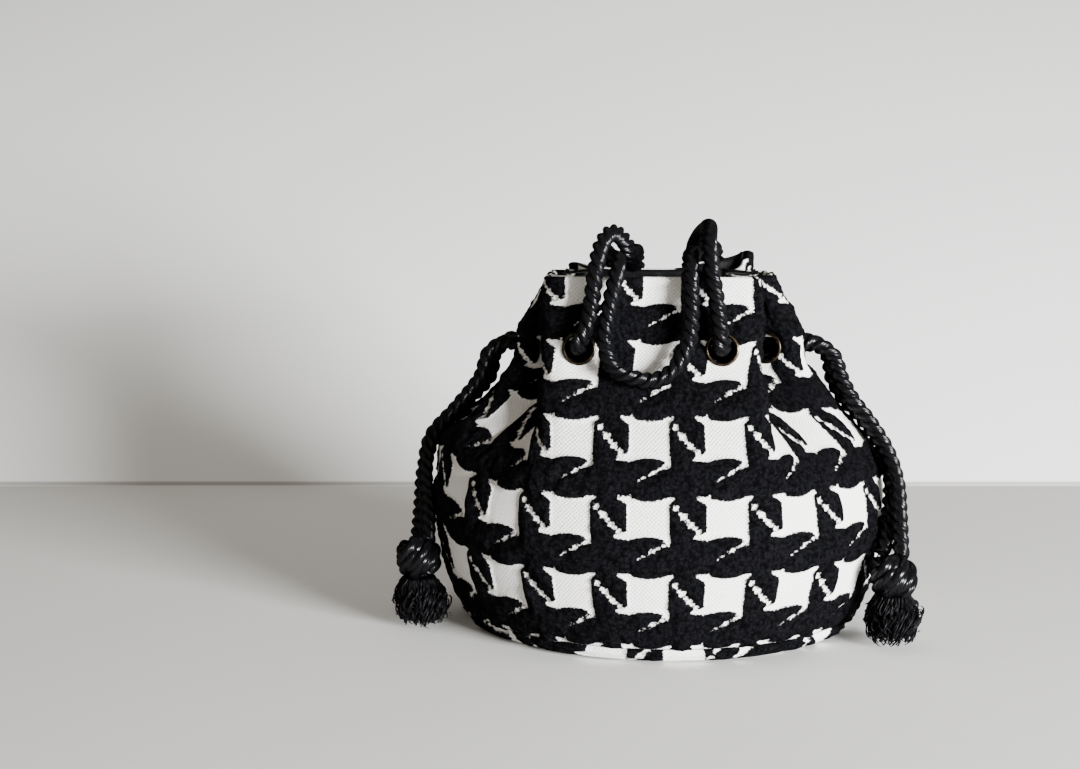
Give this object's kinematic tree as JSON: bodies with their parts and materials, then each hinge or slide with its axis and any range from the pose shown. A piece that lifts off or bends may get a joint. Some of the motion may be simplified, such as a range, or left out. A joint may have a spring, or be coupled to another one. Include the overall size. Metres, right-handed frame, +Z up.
{
  "type": "drawstring bucket handbag",
  "caption": "Small bucket handbag of houndstooth tweed, gathered at the neck by twisted cords that run through metal eyelets as handles and end in knots with frayed tassels.",
  "frame": {"origin": "middle of the base's underside, where the bag rests on the table", "axes": "+X to the bag's right as seen from the front, along its width; +Y to the back; +Z up"},
  "size_m": [0.2284, 0.1742, 0.1779],
  "materials": {
    "tweed": "woven black and white houndstooth tweed",
    "lining": "black satin cloth",
    "eyelet_metal": "dark antique, polished",
    "cord": "black twisted satin cord",
    "tassel": "black frayed yarn"
  },
  "bodies": {
    "root": {"base_panel": "tweed", "base_edge": "tweed", "body_panel": "tweed", "lining": "lining", "eyelet_front_left": "eyelet_metal", "eyelet_front_right": "eyelet_metal", "eyelet_right_flank": "eyelet_metal", "eyelet_right_exit_front": "eyelet_metal", "eyelet_right_exit_back": "eyelet_metal", "eyelet_right_back_flank": "eyelet_metal", "eyelet_back_right": "eyelet_metal", "eyelet_back_left": "eyelet_metal", "eyelet_left_back_flank": "eyelet_metal", "eyelet_left_exit_back": "eyelet_metal", "eyelet_left_exit_front": "eyelet_metal", "eyelet_left_flank": "eyelet_metal", "front_cord": "cord", "back_cord": "cord", "knot_left": "cord", "tassel_left": "tassel", "knot_right": "cord", "tassel_right": "tassel"}
  },
  "joints": []
}
